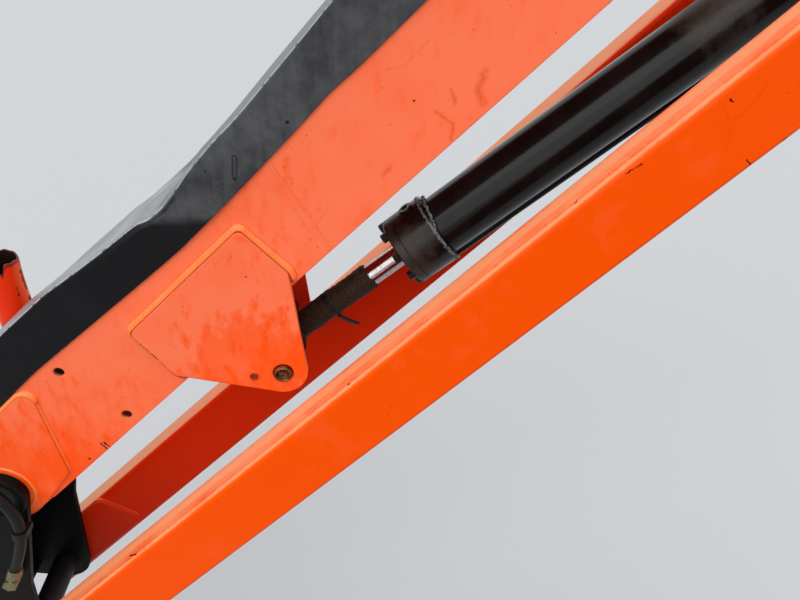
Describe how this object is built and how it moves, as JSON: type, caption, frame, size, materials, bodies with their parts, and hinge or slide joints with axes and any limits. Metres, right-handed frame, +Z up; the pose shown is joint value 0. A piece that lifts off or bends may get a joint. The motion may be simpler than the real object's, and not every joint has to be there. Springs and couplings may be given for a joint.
{
  "type": "jib arm assembly of a telescopic boom lift",
  "caption": "Articulating jib of a boom lift: box arm over twin tube links, lift cylinder between them, boom bracket at one end, rotator and platform mount at the other.",
  "frame": {"origin": "centre of the boom pivot bore, in the middle of the jib's width", "axes": "+X from the platform end towards the boom, +Y across the jib along the pivot bores, +Z up; stored with the jib lowered as parked, 41.55 degrees below the horizontal"},
  "size_m": [2.0208, 0.3302, 1.7439],
  "materials": {
    "orange_enamel": "sprayed enamel on steel, weathered, grease marks and chips",
    "black_enamel": "sprayed black enamel on steel, dusty",
    "cover_paint": "black paint on thin dented sheet",
    "cylinder_paint": "gloss black paint, brown wear near the base",
    "chromed_rod": "hard chrome, ground",
    "crusted_rod": "dried grease and dirt over steel",
    "zinc_steel": "zinc plated, dulled",
    "rusty_steel": "brown rust",
    "hose_rubber": "extruded rubber cover"
  },
  "bodies": {
    "boom_bracket": {"bracket_plate_near": "black_enamel", "bracket_plate_far": "black_enamel", "bracket_web": "black_enamel", "bracket_floor": "black_enamel", "boom_pivot_tube": "black_enamel", "level_pivot_tube": "black_enamel", "arm_pin": "zinc_steel", "link_pin": "zinc_steel"},
    "arm": {"arm_box": "orange_enamel", "arm_base_tube": "orange_enamel", "arm_tip_tube": "orange_enamel", "arm_base_doublers": "orange_enamel", "arm_tip_doublers": "orange_enamel", "gusset_near": "orange_enamel", "gusset_far": "orange_enamel", "rod_pin_stubs": "rusty_steel", "hose_cover": "cover_paint", "guide_tube": "orange_enamel"},
    "links": {"link_near": "orange_enamel", "link_far": "orange_enamel", "link_base_bushes": "orange_enamel", "link_tip_bushes": "orange_enamel", "link_base_doublers": "orange_enamel", "link_tip_doublers": "orange_enamel"},
    "barrel": {"barrel": "cylinder_paint", "barrel_eye": "cylinder_paint", "gland": "cylinder_paint", "gland_bolts": "zinc_steel", "oil_tube": "cylinder_paint"},
    "rod": {"rod": "chromed_rod", "rod_sleeve": "crusted_rod", "rod_eye": "crusted_rod"},
    "platform_bracket": {"level_plate_near": "black_enamel", "level_plate_far": "black_enamel", "level_web": "black_enamel", "tip_pin": "zinc_steel", "tip_link_pin": "zinc_steel", "rotator_body": "black_enamel", "bracket_hose": "hose_rubber", "hose_fittings": "zinc_steel", "hose_clip": "zinc_steel"},
    "platform_mount": {"rotator_caps": "black_enamel", "mount_straddles": "black_enamel", "platform_mount": "black_enamel"}
  },
  "joints": [
    {"name": "jib_hinge", "type": "hinge", "parent": "boom_bracket", "child": "arm", "pos_m": [-0.19, 0, 0.215], "axis": [0, 1, 0], "range_deg": [-8, 85]},
    {"name": "link_hinge", "type": "hinge", "parent": "boom_bracket", "child": "links", "pos_m": [-0.265, 0, -0.172], "axis": [0, 1, 0], "range_deg": [-8, 85]},
    {"name": "platform_level_hinge", "type": "hinge", "parent": "arm", "child": "platform_bracket", "pos_m": [-1.55878, 0, -0.99813], "axis": [0, 1, 0], "range_deg": [-85, 8]},
    {"name": "barrel_hinge", "type": "hinge", "parent": "boom_bracket", "child": "barrel", "pos_m": [-0.265, 0, -0.172], "axis": [0, 1, 0], "range_deg": [-8.33, 88.41]},
    {"name": "rod_slide", "type": "slide", "parent": "barrel", "child": "rod", "axis": [-0.8047, 0, -0.5937], "range_m": [-0.0504, 0.5309]},
    {"name": "platform_rotator", "type": "hinge", "parent": "platform_bracket", "child": "platform_mount", "pos_m": [-1.83578, 0, -1.20813], "axis": [0, 0, 1], "range_deg": [-90, 90]}
  ],
  "couplings": [
    {"joint": "link_hinge", "follows": "jib_hinge", "ratio": 1},
    {"joint": "platform_level_hinge", "follows": "jib_hinge", "ratio": -1},
    {"joint": "barrel_hinge", "follows": "jib_hinge", "ratio": 1.04},
    {"joint": "rod_slide", "follows": "jib_hinge", "m_per_rad": 0.3575}
  ]
}
